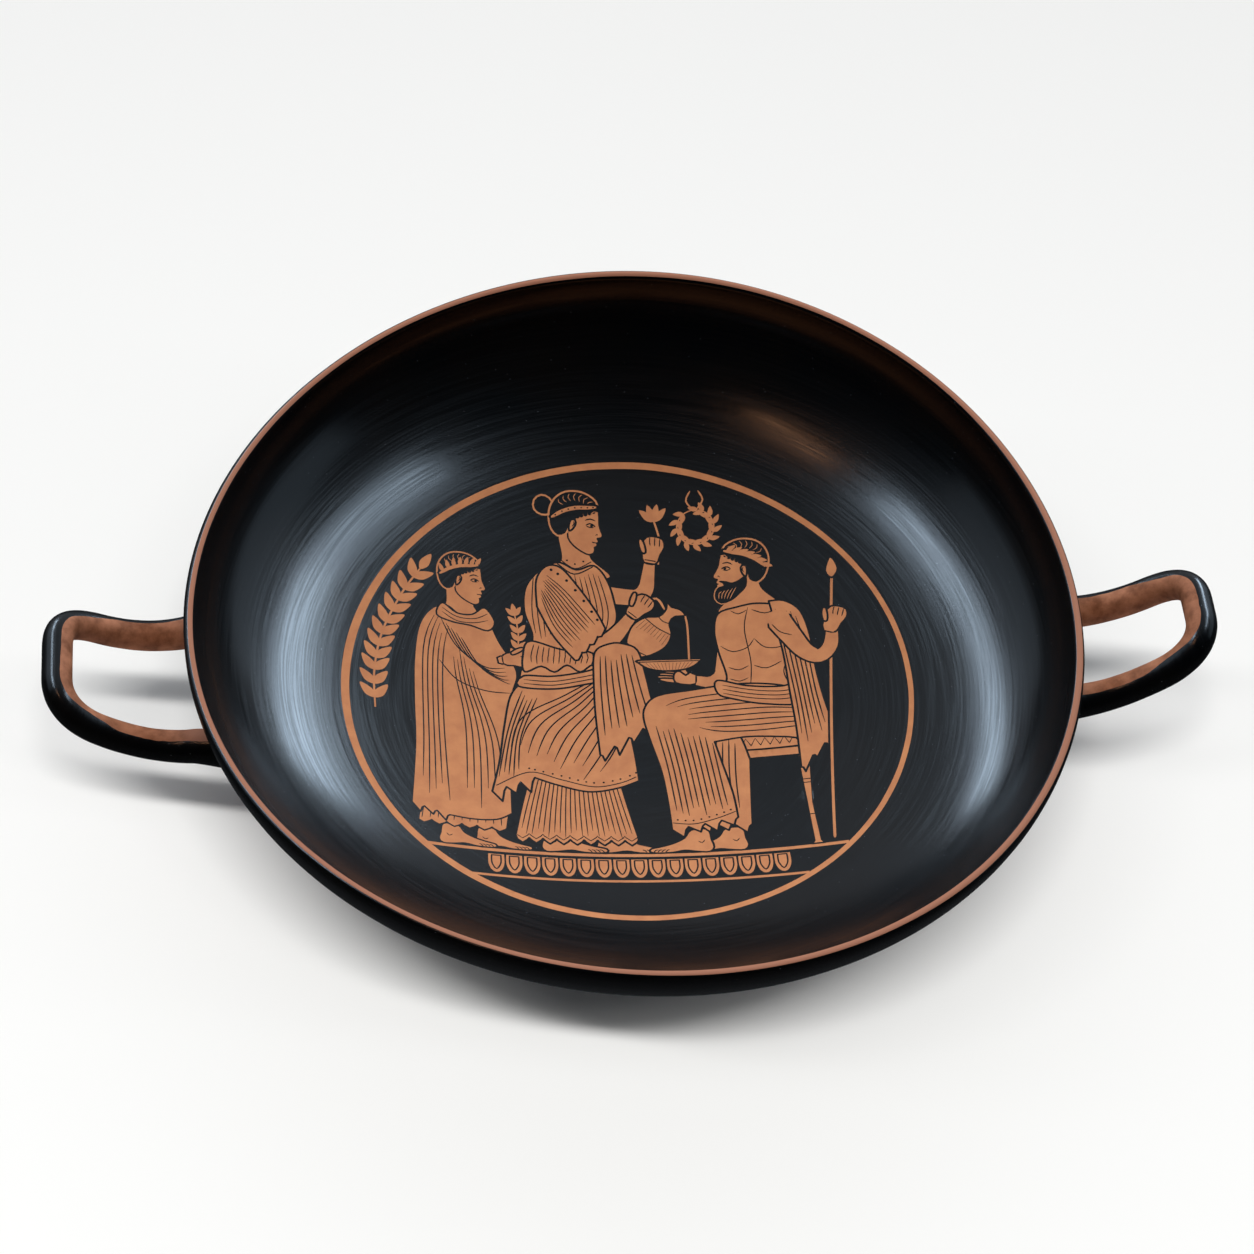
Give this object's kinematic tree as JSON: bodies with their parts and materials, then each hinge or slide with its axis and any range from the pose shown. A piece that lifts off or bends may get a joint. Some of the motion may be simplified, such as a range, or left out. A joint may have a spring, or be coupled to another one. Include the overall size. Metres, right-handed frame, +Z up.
{
  "type": "kylix cup",
  "caption": "Wide shallow fired-clay wine cup on a stem and disc foot, with two looped side handles and a black slip finish with bare clay lines.",
  "frame": {"origin": "middle of the foot's underside, on the surface the cup stands on", "axes": "+Z up along the cup's axis, +X along the line through the two handles, -Y towards the viewer of the painted floor"},
  "size_m": [0.4382, 0.334, 0.1334],
  "materials": {
    "black_slip": "satin black clay slip brushed on in circles, with the orange clay left bare on the lip, the inner ring, the picture and the handles' inner sides"
  },
  "bodies": {
    "root": {"kylix_cup": "black_slip"}
  },
  "joints": []
}
